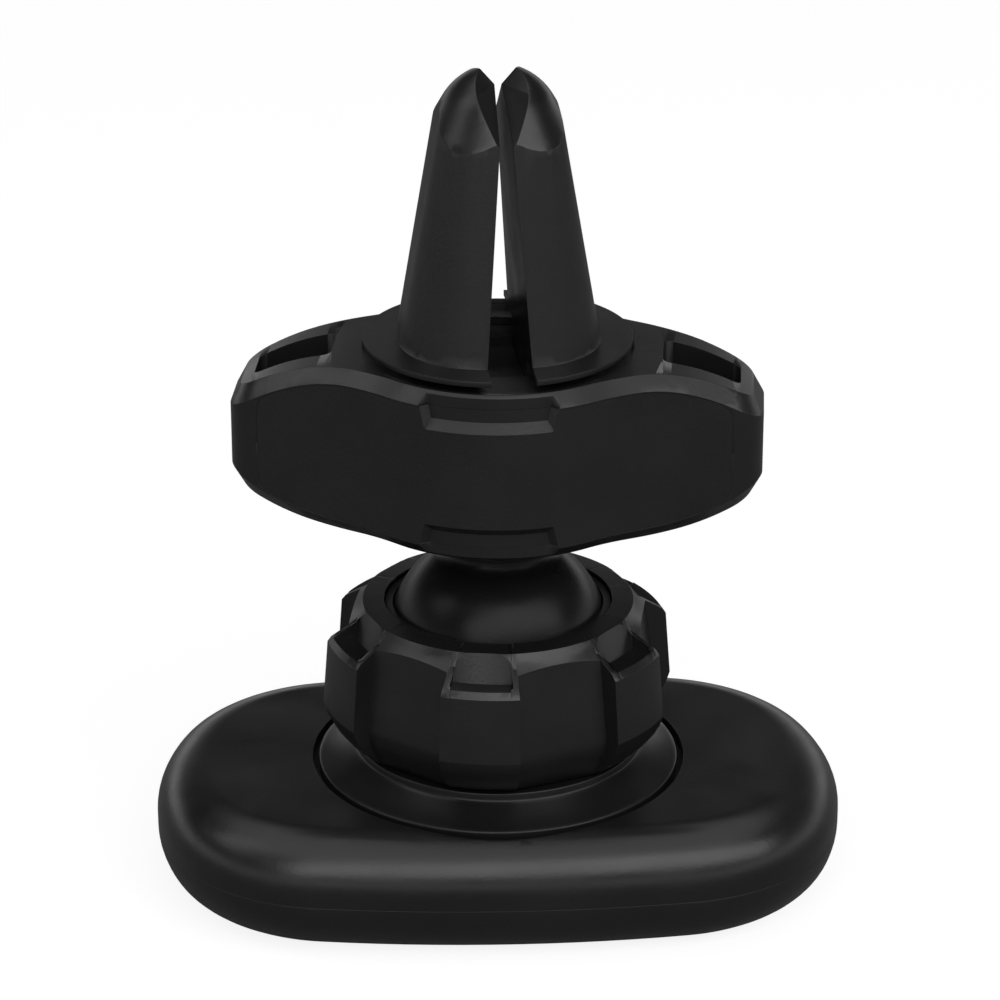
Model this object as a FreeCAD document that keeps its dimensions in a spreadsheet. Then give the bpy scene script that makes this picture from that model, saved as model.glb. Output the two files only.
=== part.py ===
import FreeCAD, Part
import os
import re

import Sketcher
from FreeCAD import Placement, Rotation, Vector

doc = FreeCAD.newDocument("phone_holder")

# Driving sizes, in millimetres and degrees
SIZES = {
    # head, which stands on its phone face
    "head_length": 63.0,
    "head_depth": 40.4,
    "head_thickness": 11.6,
    "end_flat": 5.4,
    "side_bow": 1.0,
    "end_bow": 0.45,
    "roof_round": 4.8,
    "foot_round": 5.2,
    "head_wall": 3.4,
    "cover_roof": 2.6,
    "lip_thickness": 0.9,
    "lip_height": 0.7,
    "pad_proud": 0.35,
    "pad_thickness": 0.9,
    "pad_inset": 6.4,
    "fit_gap": 0.05,
    # magnets and yoke plate behind the face pad
    "magnet_height": 2.0,
    "magnet_from_end": 10.0,
    "magnet_from_side": 7.2,
    "magnet_row_gap": 4.0,
    "well_floor": 1.1,
    "yoke_inset": 5.5,
    "yoke_thickness": 1.2,
    "post_radius": 2.0,
    "post_from_end": 8.5,
    "post_row_gap": 12.0,
    # ball socket on the head cover
    "groove_radius": 17.1,
    "groove_width": 0.6,
    "flange_seat": 1.0,
    "flange_proud": 0.08,
    "flare_top_radius": 13.1,
    "flare_height": 2.2,
    "flare_radius": 3.4,
    "cup_radius": 11.9,
    "cup_height": 10.4,
    "socket_screw_radius": 0.9,
    "socket_screw_head": 1.8,
    "socket_screw_head_height": 1.2,
    "socket_screw_length": 5.6,
    "socket_screw_circle": 9.3,
    # ball and neck
    "ball_radius": 10.1,
    "ball_height": 23.2,
    "ball_gap": 0.1,
    "shoulder_radius": 5.9,
    "shoulder_height": 9.8,
    "shoulder_fillet": 1.6,
    "neck_radius": 5.0,
    "spigot_radius": 2.4,
    "spigot_length": 6.0,
    "neck_foot_radius": 6.5,
    "neck_foot_height": 1.3,
    "ball_screw_radius": 1.2,
    "ball_screw_head": 2.6,
    "ball_screw_head_height": 1.6,
    "ball_screw_seat": 16.8,
    "ball_screw_length": 12.5,
    # clamp nut
    "nut_bottom": 14.1,
    "nut_foot_radius": 13.0,
    "nut_waist": 18.2,
    "nut_radius": 16.2,
    "belly_radius": 6.5,
    "nut_shoulder": 24.8,
    "nut_shoulder_radius": 15.5,
    "nut_ring": 26.5,
    "nut_ring_radius": 14.2,
    "nut_top_round": 12.6,
    "nut_top": 27.2,
    "nut_crown_drop": 0.15,
    "mouth_radius": 10.36,
    "mouth_depth": 0.9,
    "nut_bore_radius": 12.05,
    "nut_cone_foot": 23.4,
    "panel_depth": 1.6,
    "panel_foot_depth": 0.5,
    "panel_lean": 0.03,
    "rib_angle": 25.8,
    "rib_count": 6,
    "pocket_width": 5.35,
    "pocket_floor": 24.7,
    "pocket_foot_radius": 13.3,
    "pocket_crown_radius": 11.8,
    "pocket_arch": 1.2,
    "nut_angle": -7.8,
    # friction collar between nut and ball
    "collar_foot": 22.3,
    "collar_belt": 1.0,
    "collar_top": 26.9,
    "collar_split": 1.2,
    # wing-shaped clip body
    "wing_bottom": 36.2,
    "wing_top": 51.5,
    "wing_length": 47.2,
    "wing_depth": 27.1,
    "bulge_radius": 14.2,
    "bulge_sweep": 39.3,
    "blend_radius": 19.2,
    "arm_taper": 14.0,
    "tip_radius": 3.2,
    "crown_flat": 12.0,
    "crown_radius": 20.0,
    "wing_bevel": 1.15,
    "fascia_thickness": 1.6,
    "fascia_length": 41.8,
    "fascia_corner": 1.8,
    "fascia_gap": 0.02,
    "recess_depth": 0.9,
    "recess_top_width": 12.6,
    "recess_foot_width": 11.2,
    "recess_foot": 48.25,
    "slot_start": 14.6,
    "slot_end": 21.5,
    "slot_width": 5.6,
    "slot_end_width": 4.4,
    "slot_depth": 5.5,
    "slot_corner": 0.8,
    "shell_floor": 1.2,
    "shell_screw_spread": 12.3,
    "shell_screw_radius": 0.9,
    "shell_screw_head": 1.8,
    "shell_screw_head_height": 1.3,
    "shell_screw_length": 9.0,
    "shell_screw_cover": 1.5,
    "wing_angle": -5.6,
    # turret that turns in the clip body
    "drum_radius": 10.2,
    "drum_gap": 0.1,
    "drum_top": 48.9,
    "turret_top": 50.4,
    "bore_radius": 8.4,
    "washer_thickness": 0.8,
    "turret_floor": 1.1,
    "jaw_well_length": 16.6,
    "jaw_well_width": 10.2,
    "stop_width": 3.2,
    "stop_bottom": 45.6,
    "stop_top": 49.6,
    # jaws
    "jaw_angle": 5.0,
    "flange_radius": 11.93,
    "flange_top": 52.5,
    "flange_thickness": 0.5,
    "dish_radius": 12.05,
    "dish_depth": 0.35,
    "jaw_slot": 3.9,
    "jaw_base_width": 17.8,
    "jaw_base_depth": 17.4,
    "jaw_base_corner": 7.4,
    "jaw_top_width": 9.1,
    "jaw_top_depth": 11.0,
    "jaw_top_corner": 3.2,
    "jaw_shoulder": 75.5,
    "jaw_height": 77.1,
    "jaw_tip_gap": 0.6,
    "crown_dome": 5.6,
    "crown_lean": 30.0,
    "lead_in_bottom": 69.0,
    "lead_in_foot": -5.34,
    "lead_in_head": 2.62,
    "lead_in_run": 6.52,
    "root_width": 10.0,
    "root_radius": 7.8,
    "pivot_spread": 6.0,
    "pivot_height": 46.8,
    "pivot_eye": 1.9,
    "pin_radius": 0.9,
    "pin_gap": 0.04,
    "pin_length": 14.6,
    "tail_bottom": 41.9,
    "tail_top": 44.7,
    "tail_inner": 4.2,
    "tail_outer": 6.4,
    # jaw spring
    "spring_height": 43.15,
    "spring_radius": 1.45,
    "spring_wire": 0.25,
    "spring_turns": 6.0,
}

sheet = doc.addObject("Spreadsheet::Sheet", "sizes")
for row, (word, size) in enumerate(SIZES.items(), 1):
    sheet.set(f"A{row}", word)
    sheet.set(f"B{row}", str(size))
    sheet.setAlias(f"B{row}", word)
doc.recompute()

WORD = re.compile(r"[a-z_]+")
FUNCTIONS = ("sin", "cos", "tan", "sqrt", "placement", "rotation", "vector")
UP = Vector(0, 0, 1)


def tied(text):
    """An expression with each of its words tied to the cell of that name."""
    return WORD.sub(lambda word: word[0] if word[0] in FUNCTIONS else "sizes." + word[0], text)


def now(text):
    """What an expression comes to at the sizes as they stand."""
    return float(sheet.evalExpression(tied(text)))


def bind(thing, **expressions):
    for name, text in expressions.items():
        thing.setExpression(name.replace("__", "."), tied(text))


# Bodies, sketches and features
def new_body(name):
    body = doc.addObject("PartDesign::Body", name)
    body.Label = name
    return body


def datum(body, role):
    return next(f for f in body.Origin.OriginFeatures if f.Role == role)


def sketch(body, plane, lift="0"):
    """A sketch on one of the body's own planes. XZ lifts towards -Y."""
    s = body.newObject("Sketcher::SketchObject", "sketch")
    s.AttachmentSupport = (datum(body, plane + "_Plane"), [""])
    s.MapMode = "FlatFace"
    bind(s, AttachmentOffset__Base__z=lift)
    return s


def pin_point(s, edge, end, x, y):
    """Hold one point of a sketch where two expressions put it."""
    for kind, axis, text in (("DistanceX", -2, x), ("DistanceY", -1, y)):
        if text == "0":
            s.addConstraint(Sketcher.Constraint("PointOnObject", edge, end, axis))
            continue
        held = s.addConstraint(Sketcher.Constraint(kind, -1, 1, edge, end, now(text)))
        s.setExpression(f"Constraints[{held}]", tied(text))


def arc_between(start, stop, radius, left):
    """The short arc from start to stop that turns left or right, and its ends in that order."""
    chord = stop - start
    middle = (start + stop) * 0.5
    across = Vector(-chord.y, chord.x, 0).normalize()
    reach = max(radius**2 - chord.Length**2 / 4, 0) ** 0.5
    centre = middle + across * (reach if left else -reach)
    first, last = (start, stop) if left else (stop, start)
    turn = [Vector(1, 0, 0).getAngle(p - centre) * (1 if p.y >= centre.y else -1) for p in (first, last)]
    arc = Part.ArcOfCircle(Part.Circle(centre, UP, radius), turn[0], turn[1])
    return arc, ((1, 2) if left else (2, 1))


def loop(s, corners):
    """A closed outline. A corner is (x, y), or (x, y, radius, 'left' or 'right') where an arc leaves it."""
    points = [Vector(now(c[0]), now(c[1]), 0) for c in corners]
    ends, held = [], []
    for k, corner in enumerate(corners):
        start, stop = points[k], points[(k + 1) % len(points)]
        if len(corner) == 2:
            edge = s.addGeometry(Part.LineSegment(start, stop), False)
            ends.append((edge, 1, 2))
        else:
            arc, (first, last) = arc_between(start, stop, now(corner[2]), corner[3] == "left")
            edge = s.addGeometry(arc, False)
            ends.append((edge, first, last))
            held.append((edge, corner[2]))
    for k, (edge, first, last) in enumerate(ends):
        after = ends[(k + 1) % len(ends)]
        s.addConstraint(Sketcher.Constraint("Coincident", edge, last, after[0], after[1]))
    for (edge, first, last), corner in zip(ends, corners):
        pin_point(s, edge, first, corner[0], corner[1])
    for edge, radius in held:
        at = s.addConstraint(Sketcher.Constraint("Radius", edge, now(radius)))
        s.setExpression(f"Constraints[{at}]", tied(radius))


def circle(s, radius, x="0", y="0"):
    centre = Vector(now(x), now(y), 0)
    edge = s.addGeometry(Part.Circle(centre, UP, now(radius)), False)
    pin_point(s, edge, 3, x, y)
    at = s.addConstraint(Sketcher.Constraint("Radius", edge, now(radius)))
    s.setExpression(f"Constraints[{at}]", tied(radius))


def box_loop(s, half_x, half_y, x="0", y="0"):
    """A rectangle about a centre."""
    left, right = f"({x}) - ({half_x})", f"({x}) + ({half_x})"
    low, high = f"({y}) - ({half_y})", f"({y}) + ({half_y})"
    loop(s, [(left, low), (right, low), (right, high), (left, high)])


def round_box(s, half_x, half_y, corner):
    """A rectangle about the origin with round corners."""
    x, y = f"({half_x})", f"({half_y})"
    inner_x, inner_y = f"{x} - ({corner})", f"{y} - ({corner})"
    loop(s, [
        (inner_x, f"-{y}", corner, "left"),
        (x, f"-({inner_y})"),
        (x, inner_y, corner, "left"),
        (inner_x, y),
        (f"-({inner_x})", y, corner, "left"),
        (f"-{x}", inner_y),
        (f"-{x}", f"-({inner_y})", corner, "left"),
        (f"-({inner_x})", f"-{y}"),
    ])


def feature(body, kind, profile, **expressions):
    f = body.newObject("PartDesign::" + kind, kind.lower())
    f.Profile = profile
    bind(f, **expressions)
    return f


def pad(body, profile, height, both=False):
    f = feature(body, "Pad", profile, Length=height)
    f.SideType = "Symmetric" if both else "One side"
    return f


def pocket(body, profile, depth="wing_length * 2", up=False, both=False):
    """A cut along the sketch's normal, down unless up, or both ways."""
    f = feature(body, "Pocket", profile, Length=depth)
    f.Reversed = up
    f.SideType = "Symmetric" if both else "One side"
    return f


def turned(body, profile, cut=False, angle="360"):
    """The profile turned about the upright axis, half of the angle to each side."""
    f = feature(body, "Groove" if cut else "Revolution", profile, Angle=angle)
    f.ReferenceAxis = (profile, ["V_Axis"])
    f.Midplane = angle != "360"
    return f


def repeat(body, originals, count):
    """Copies of features round the upright axis."""
    f = body.newObject("PartDesign::PolarPattern", "pattern")
    f.Originals = originals
    f.Axis = (datum(body, "Z_Axis"), [""])
    f.Angle = 360
    bind(f, Occurrences=count)
    body.Tip = f
    return f


def dressed(body, kind, base, chosen, size):
    """A fillet or chamfer on the edges of base that chosen() picks."""
    doc.recompute()
    names = [f"Edge{k}" for k, edge in enumerate(base.Shape.Edges, 1) if chosen(edge)]
    f = body.newObject("PartDesign::" + kind, kind.lower())
    f.Base = (base, names)
    bind(f, **{"Radius" if kind == "Fillet" else "Size": size})
    return f


def at_height(text):
    """Picks the edges that lie wholly at one height."""
    height = now(text)
    return lambda edge: abs(edge.BoundBox.ZMin - height) < 1e-4 and abs(edge.BoundBox.ZMax - height) < 1e-4


def boolean(kind, name, base, tools):
    """Part::Cut, Part::MultiFuse or Part::MultiCommon of finished objects."""
    if kind == "Cut":
        result = base
        for k, tool in enumerate(tools):
            cut = doc.addObject("Part::Cut", f"{name}_{k}")
            cut.Base = result
            cut.Tool = tool
            result = cut
    else:
        result = doc.addObject("Part::Multi" + kind, name)
        result.Shapes = [base, *tools]
    result.Label = name
    return result


parts = []


def keep(thing, angle=None):
    """Hand in an object under its label, turned about the upright axis by a size of the sheet."""
    if angle:
        thing.Placement = Placement(Vector(0, 0, 0), Rotation(UP, 1))
        bind(thing, Placement__Rotation__Angle=angle)
    parts.append(thing)
    return thing


# Head: cover, tray, pad, yoke plate and magnets
PARTING = "head_thickness / 2"
YOKE_SEAT = "pad_thickness + well_floor + magnet_height"
COVER_CEILING = "head_thickness - cover_roof"
FLANGE_BED = "head_thickness - flange_seat"
HEAD_CORNER = "(head_depth / 2 - side_bow - end_flat / 2)"
CORNER_X = f"(head_length / 2 - {HEAD_CORNER} - end_bow)"
CORNER_Y = "(end_flat / 2)"
SIDE_CENTRE = f"(((head_depth / 2 - {HEAD_CORNER})^2 - {CORNER_X}^2 - {CORNER_Y}^2) / (2 * side_bow))"
END_CENTRE = f"(((head_length / 2 - {HEAD_CORNER})^2 - {CORNER_X}^2 - {CORNER_Y}^2) / (2 * end_bow))"
SIDE_ARC = f"(head_depth / 2 - {SIDE_CENTRE})"
END_ARC = f"(head_length / 2 - {END_CENTRE})"


def mirrored(point, x, y):
    return tuple(f"{sign}({text})" for sign, text in zip((x, y), point))


def inset_plan(s, inset):
    """The head's plan, drawn in by an inset: bowed sides and ends, with a round corner between each."""
    side, end = f"({SIDE_ARC} - {inset})", f"({END_ARC} - {inset})"
    to_side, to_end = f"{side} / ({SIDE_ARC} - {HEAD_CORNER})", f"{end} / ({END_ARC} - {HEAD_CORNER})"
    at_side = (f"{CORNER_X} * {to_side}", f"{SIDE_CENTRE} + ({CORNER_Y} - {SIDE_CENTRE}) * {to_side}")
    at_end = (f"{END_CENTRE} + ({CORNER_X} - {END_CENTRE}) * {to_end}", f"{CORNER_Y} * {to_end}")
    corner = f"({HEAD_CORNER} - {inset})"
    loop(s, [
        (*at_end, corner, "left"),
        (*at_side, side, "left"),
        (*mirrored(at_side, "-", ""), corner, "left"),
        (*mirrored(at_end, "-", ""), end, "left"),
        (*mirrored(at_end, "-", "-"), corner, "left"),
        (*mirrored(at_side, "-", "-"), side, "left"),
        (*mirrored(at_side, "", "-"), corner, "left"),
        (*mirrored(at_end, "", "-"), end, "left"),
    ])


def corners_of(from_end, row_gap, radius):
    """Four centres of circles in two rows, with this much room to the head's ends and between the rows."""
    x, y = f"(head_length / 2 - {from_end} - {radius})", f"({row_gap} / 2 + {radius})"
    return [(f"{i} * {x}", f"{j} * {y}") for i in (1, -1) for j in (1, -1)]


MAGNET_RADIUS = "(head_depth / 2 - magnet_from_side - magnet_row_gap / 2) / 2"
MAGNETS = ("magnet_from_end", "magnet_row_gap", MAGNET_RADIUS)
POSTS = ("post_from_end", "post_row_gap", "post_radius")


def head_cover():
    """Moulded upper half: rounded over the top, hollow, with a lip into the tray and posts on the yoke."""
    body = new_body("head_cover")
    plan = sketch(body, "XY", PARTING)
    inset_plan(plan, "0")
    block = pad(body, plan, f"head_thickness - {PARTING}")
    rounded = dressed(body, "Fillet", block, at_height("head_thickness"), "roof_round")
    seat = sketch(body, "XY", "head_thickness")
    circle(seat, "groove_radius")
    pocket(body, seat, "flange_seat")
    hollow = sketch(body, "XY", PARTING)
    inset_plan(hollow, "head_wall")
    pocket(body, hollow, f"{COVER_CEILING} - {PARTING}", up=True)
    lip = sketch(body, "XY", f"{PARTING} - lip_height")
    inset_plan(lip, "(head_wall + fit_gap)")
    inset_plan(lip, "(head_wall + lip_thickness)")
    pad(body, lip, f"lip_height + ({COVER_CEILING} - {PARTING})")
    posts = sketch(body, "XY", f"{YOKE_SEAT} + yoke_thickness + fit_gap")
    for x, y in corners_of(*POSTS):
        circle(posts, "post_radius", x, y)
    pad(body, posts, f"{COVER_CEILING} - ({YOKE_SEAT} + yoke_thickness + fit_gap)")
    holes = sketch(body, "XY", "head_thickness")
    for k in range(3):
        turn = f"{90 + 120 * k}"
        circle(holes, "socket_screw_radius + fit_gap",
               f"socket_screw_circle * cos({turn})", f"socket_screw_circle * sin({turn})")
    pocket(body, holes, "cover_roof * 2")
    return body


def head_tray():
    """Moulded lower half: rounded under, with wells for the magnets and a bed for the pad."""
    body = new_body("head_tray")
    plan = sketch(body, "XY", "pad_proud")
    inset_plan(plan, "0")
    block = pad(body, plan, f"{PARTING} - pad_proud")
    dressed(body, "Fillet", block, at_height("pad_proud"), "foot_round")
    hollow = sketch(body, "XY", PARTING)
    inset_plan(hollow, "head_wall")
    pocket(body, hollow, f"{PARTING} - ({YOKE_SEAT})")
    wells = sketch(body, "XY", YOKE_SEAT)
    for x, y in corners_of(*MAGNETS):
        circle(wells, f"{MAGNET_RADIUS} + fit_gap", x, y)
    pocket(body, wells, "magnet_height")
    bed = sketch(body, "XY", "pad_thickness")
    inset_plan(bed, "(pad_inset - fit_gap)")
    pocket(body, bed, "pad_thickness")
    return body


def face_pad():
    """Soft sheet that the phone lies on, let into the tray and a little proud of it."""
    body = new_body("face_pad")
    plan = sketch(body, "XY")
    inset_plan(plan, "pad_inset")
    pad(body, plan, "pad_thickness")
    return body


def yoke_plate():
    """Steel plate that closes the magnets' field on the side away from the phone."""
    body = new_body("yoke_plate")
    plan = sketch(body, "XY", YOKE_SEAT)
    inset_plan(plan, "yoke_inset")
    pad(body, plan, "yoke_thickness")
    return body


def magnets():
    """Four discs in the tray's wells."""
    body = new_body("magnets")
    plan = sketch(body, "XY", "pad_thickness + well_floor")
    for x, y in corners_of(*MAGNETS):
        circle(plan, MAGNET_RADIUS, x, y)
    pad(body, plan, "magnet_height")
    return body


# Ball socket and its screws
SOCKET_RADIUS = "groove_radius - groove_width"
CUP_SPHERE = "ball_radius + ball_gap"
CUP_TOP = "head_thickness + cup_height"
CUP_RISE = f"ball_height - ({CUP_TOP})"


def ball_socket():
    """Flange in the cover's bed, flare up to the nut, and the cup that the ball sits in."""
    body = new_body("ball_socket")
    profile = sketch(body, "XZ")
    flange_edge = "head_thickness + flange_proud"
    flare_head = "head_thickness + flare_height"
    loop(profile, [
        ("0", FLANGE_BED),
        (SOCKET_RADIUS, FLANGE_BED),
        (SOCKET_RADIUS, flange_edge, "flare_radius", "right"),
        ("flare_top_radius", flare_head),
        ("cup_radius", flare_head),
        ("cup_radius", CUP_TOP),
        (f"sqrt(({CUP_SPHERE})^2 - ({CUP_RISE})^2)", CUP_TOP, CUP_SPHERE, "right"),
        ("0", f"ball_height - ({CUP_SPHERE})"),
    ])
    turned(body, profile)
    holes = sketch(body, "XY", FLANGE_BED)
    circle(holes, "socket_screw_radius + 0.4 * fit_gap", "0", "socket_screw_circle")
    drilled = pocket(body, holes, "socket_screw_length - cover_roof + flange_seat + 1", up=True)
    repeat(body, [drilled], "3")
    return body


def socket_screws():
    """Three screws up through the cover's roof into the socket."""
    body = new_body("socket_screws")
    heads = sketch(body, "XY", COVER_CEILING)
    circle(heads, "socket_screw_head", "0", "socket_screw_circle")
    head = pad(body, heads, "socket_screw_head_height")
    head.Reversed = True
    shanks = sketch(body, "XY", COVER_CEILING)
    circle(shanks, "socket_screw_radius", "0", "socket_screw_circle")
    shank = pad(body, shanks, "socket_screw_length")
    repeat(body, [head, shank], "3")
    return body


# Ball, neck post and the screw between them
BALL_SHOULDER = "ball_height + sqrt(ball_radius^2 - shoulder_radius^2)"
BALL_TOP = "ball_height + shoulder_height"


def ball():
    """Round ball with a flared shoulder under the neck, bored for the post and its screw."""
    body = new_body("ball")
    profile = sketch(body, "XZ")
    bore_rim = "ball_height - sqrt(ball_radius^2 - (ball_screw_head + fit_gap)^2)"
    loop(profile, [
        ("ball_screw_head + fit_gap", bore_rim, "ball_radius", "left"),
        ("ball_radius", "ball_height", "ball_radius", "left"),
        ("shoulder_radius", BALL_SHOULDER, "shoulder_fillet", "right"),
        ("neck_radius", BALL_TOP),
        ("spigot_radius + pin_gap", BALL_TOP),
        ("spigot_radius + pin_gap", f"{BALL_TOP} - spigot_length - fit_gap"),
        ("ball_screw_radius + fit_gap", f"{BALL_TOP} - spigot_length - fit_gap"),
        ("ball_screw_radius + fit_gap", "ball_screw_seat"),
        ("ball_screw_head + fit_gap", "ball_screw_seat"),
    ])
    turned(body, profile)
    return body


def neck_post():
    """Turned post: foot inside the clip body, neck through its floor, spigot into the ball."""
    body = new_body("neck_post")
    profile = sketch(body, "XZ")
    foot = "wing_bottom + shell_floor"
    loop(profile, [
        ("ball_screw_radius", f"{BALL_TOP} - spigot_length"),
        ("spigot_radius", f"{BALL_TOP} - spigot_length"),
        ("spigot_radius", f"{BALL_TOP} + 0.2 * fit_gap"),
        ("neck_radius", f"{BALL_TOP} + 0.2 * fit_gap"),
        ("neck_radius", foot),
        ("neck_foot_radius", foot),
        ("neck_foot_radius", f"{foot} + neck_foot_height"),
        ("ball_screw_radius", f"{foot} + neck_foot_height"),
    ])
    turned(body, profile)
    return body


def ball_screw():
    """Screw from below that pulls the ball onto the post's spigot."""
    body = new_body("ball_screw")
    profile = sketch(body, "XZ")
    shank = "ball_screw_radius - 0.4 * fit_gap"
    loop(profile, [
        ("0", "ball_screw_seat - ball_screw_head_height"),
        ("ball_screw_head", "ball_screw_seat - ball_screw_head_height"),
        ("ball_screw_head", "ball_screw_seat"),
        (shank, "ball_screw_seat"),
        (shank, "ball_screw_seat + ball_screw_length"),
        ("0", "ball_screw_seat + ball_screw_length"),
    ])
    turned(body, profile)
    return body


# Clamp nut and friction collar
def clamp_nut():
    """Moulded nut: six ribs between sunk panels, a thumb pocket on each rib, a cone that squeezes the collar."""
    body = new_body("nut_blank")
    profile = sketch(body, "XZ")
    loop(profile, [
        ("nut_foot_radius", "nut_bottom", "belly_radius", "left"),
        ("nut_radius", "nut_waist"),
        ("nut_shoulder_radius", "nut_shoulder"),
        ("nut_ring_radius", "nut_ring"),
        ("nut_top_round", "nut_top - nut_crown_drop"),
        ("mouth_radius", "nut_top"),
        ("mouth_radius", "nut_top - mouth_depth"),
        ("nut_bore_radius", "nut_cone_foot"),
        ("nut_bore_radius", "nut_bottom"),
    ])
    turned(body, profile)
    panel = sketch(body, "XZ")
    outside = "nut_radius + 1"
    foot, waist = "nut_foot_radius - panel_foot_depth", "nut_radius - panel_depth"
    loop(panel, [
        (foot, "nut_bottom", "belly_radius", "left"),
        (waist, "nut_waist"),
        (f"{waist} - panel_lean * (nut_top + 1 - nut_waist)", "nut_top + 1"),
        (outside, "nut_top + 1"),
        (outside, "nut_bottom - 1"),
        (foot, "nut_bottom - 1"),
    ])
    sunk = turned(body, panel, cut=True, angle="360 / rib_count - rib_angle")
    repeat(body, [sunk], "rib_count")
    return body


def friction_collar():
    """Split ring with a round seat for the ball and a cone for the nut."""
    body = new_body("friction_collar")
    profile = sketch(body, "XZ")
    low, high = "(collar_foot - ball_height)", "(collar_top - ball_height)"
    cone_rise = "(nut_top - mouth_depth - nut_cone_foot)"
    loop(profile, [
        (f"sqrt(({CUP_SPHERE})^2 - {low}^2)", "collar_foot"),
        ("nut_bore_radius - 3 * fit_gap", "collar_foot"),
        ("nut_bore_radius - 3 * fit_gap", "collar_foot + collar_belt"),
        ("mouth_radius - 2 * fit_gap", f"collar_foot + collar_belt + {cone_rise} - 2 * fit_gap"),
        ("mouth_radius - 2 * fit_gap", "collar_top"),
        (f"sqrt(({CUP_SPHERE})^2 - {high}^2)", "collar_top", CUP_SPHERE, "right"),
        (CUP_SPHERE, "ball_height", CUP_SPHERE, "right"),
    ])
    turned(body, profile)
    split = sketch(body, "XY", "collar_top")
    box_loop(split, "collar_split / 2", "nut_radius / 2", y="nut_radius / 2")
    pocket(body, split, "collar_top")
    return body


def thumb_pockets():
    """What is cut from the nut: six D-shaped pockets with level floors and leaning backs."""
    body = new_body("thumb_pockets")
    outside = "nut_radius + 2"
    plan = sketch(body, "XY", "pocket_floor")
    half = "pocket_width / 2"
    back = f"(({half})^2 + pocket_arch^2) / (2 * pocket_arch)"
    loop(plan, [
        (half, f"-({outside})"),
        (half, "-(pocket_crown_radius + pocket_arch)", back, "left"),
        (f"-{half}", "-(pocket_crown_radius + pocket_arch)"),
        (f"-{half}", f"-({outside})"),
    ])
    block = pad(body, plan, "nut_top - pocket_floor + 1")
    behind = sketch(body, "YZ")
    loop(behind, [
        ("-pocket_foot_radius", "pocket_floor"),
        ("-pocket_crown_radius", "nut_top"),
        ("-pocket_crown_radius", "nut_top + 2"),
        ("0", "nut_top + 2"),
        ("0", "pocket_floor - 1"),
        ("-pocket_foot_radius", "pocket_floor - 1"),
    ])
    lean = pocket(body, behind, "pocket_width * 2", both=True)
    repeat(body, [block, lean], "rib_count")
    return body


# Clip body: two wing-shaped shells, two fascias, screws and washer
MIDDLE = "(wing_bottom + wing_top) / 2"
BULGE_Y = "(wing_depth / 2 - bulge_radius)"
BLEND_X = "(bulge_radius + blend_radius) * sin(bulge_sweep)"
BLEND_Y = f"({BULGE_Y} + (bulge_radius + blend_radius) * cos(bulge_sweep))"
TIP_X = "(wing_length / 2 - tip_radius)"


def arm_y(x, inset="0"):
    """Y of the arm's straight side at x, drawn in by an inset."""
    foot_x = f"({BLEND_X} - (blend_radius + {inset}) * sin(arm_taper))"
    foot_y = f"({BLEND_Y} - (blend_radius + {inset}) * cos(arm_taper))"
    return f"({foot_y} - (({x}) - {foot_x}) * tan(arm_taper))"


TIP_Y = f"({arm_y(TIP_X)} - tip_radius / cos(arm_taper))"


def wing_points(inset):
    """The plan's corners in its first quarter: bulge end, blend end, tip start, tip end."""
    return (
        (f"(bulge_radius - {inset}) * sin(bulge_sweep)",
         f"{BULGE_Y} + (bulge_radius - {inset}) * cos(bulge_sweep)"),
        (f"{BLEND_X} - (blend_radius + {inset}) * sin(arm_taper)",
         f"{BLEND_Y} - (blend_radius + {inset}) * cos(arm_taper)"),
        (f"{TIP_X} + (tip_radius - {inset}) * sin(arm_taper)",
         f"{TIP_Y} + (tip_radius - {inset}) * cos(arm_taper)"),
        (f"wing_length / 2 - {inset}", TIP_Y),
    )


def wing_plan(s):
    """Closed plan of the clip body: bulged middle, hollow blends, tapered arms with round tips."""
    bulge, blend, tip, end = wing_points("0")
    corners = []
    for x, y in (("", ""), ("-", "-")):
        across = "-" if x == "" else ""
        corners += [
            (*mirrored(end, x, y), "tip_radius", "left"),
            mirrored(tip, x, y),
            (*mirrored(blend, x, y), "blend_radius", "right"),
            (*mirrored(bulge, x, y), "bulge_radius", "left"),
            (*mirrored(bulge, across, y), "blend_radius", "right"),
            mirrored(blend, across, y),
            (*mirrored(tip, across, y), "tip_radius", "left"),
            mirrored(end, across, y),
        ]
    loop(s, corners)


def wing_strip(s, outer, inner, end, side):
    """Strip of wall between two insets on the front (-) or rear side of the plan."""
    def line(inset):
        bulge, blend = wing_points(inset)[:2]
        tip = (end, arm_y(end, inset))
        return bulge, blend, tip

    bulge, blend, tip = line(outer)
    back_bulge, back_blend, back_tip = line(inner)
    turn, other = ("left", "right") if side == "-" else ("right", "left")
    loop(s, [
        mirrored(tip, "-", side),
        (*mirrored(blend, "-", side), f"blend_radius + {outer}", other),
        (*mirrored(bulge, "-", side), f"bulge_radius - {outer}", turn),
        (*mirrored(bulge, "", side), f"blend_radius + {outer}", other),
        mirrored(blend, "", side),
        mirrored(tip, "", side),
        mirrored(back_tip, "", side),
        (*mirrored(back_blend, "", side), f"blend_radius + {inner}", turn),
        (*mirrored(back_bulge, "", side), f"bulge_radius - {inner}", other),
        (*mirrored(back_bulge, "-", side), f"blend_radius + {inner}", turn),
        mirrored(back_blend, "-", side),
        mirrored(back_tip, "-", side),
    ])


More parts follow.
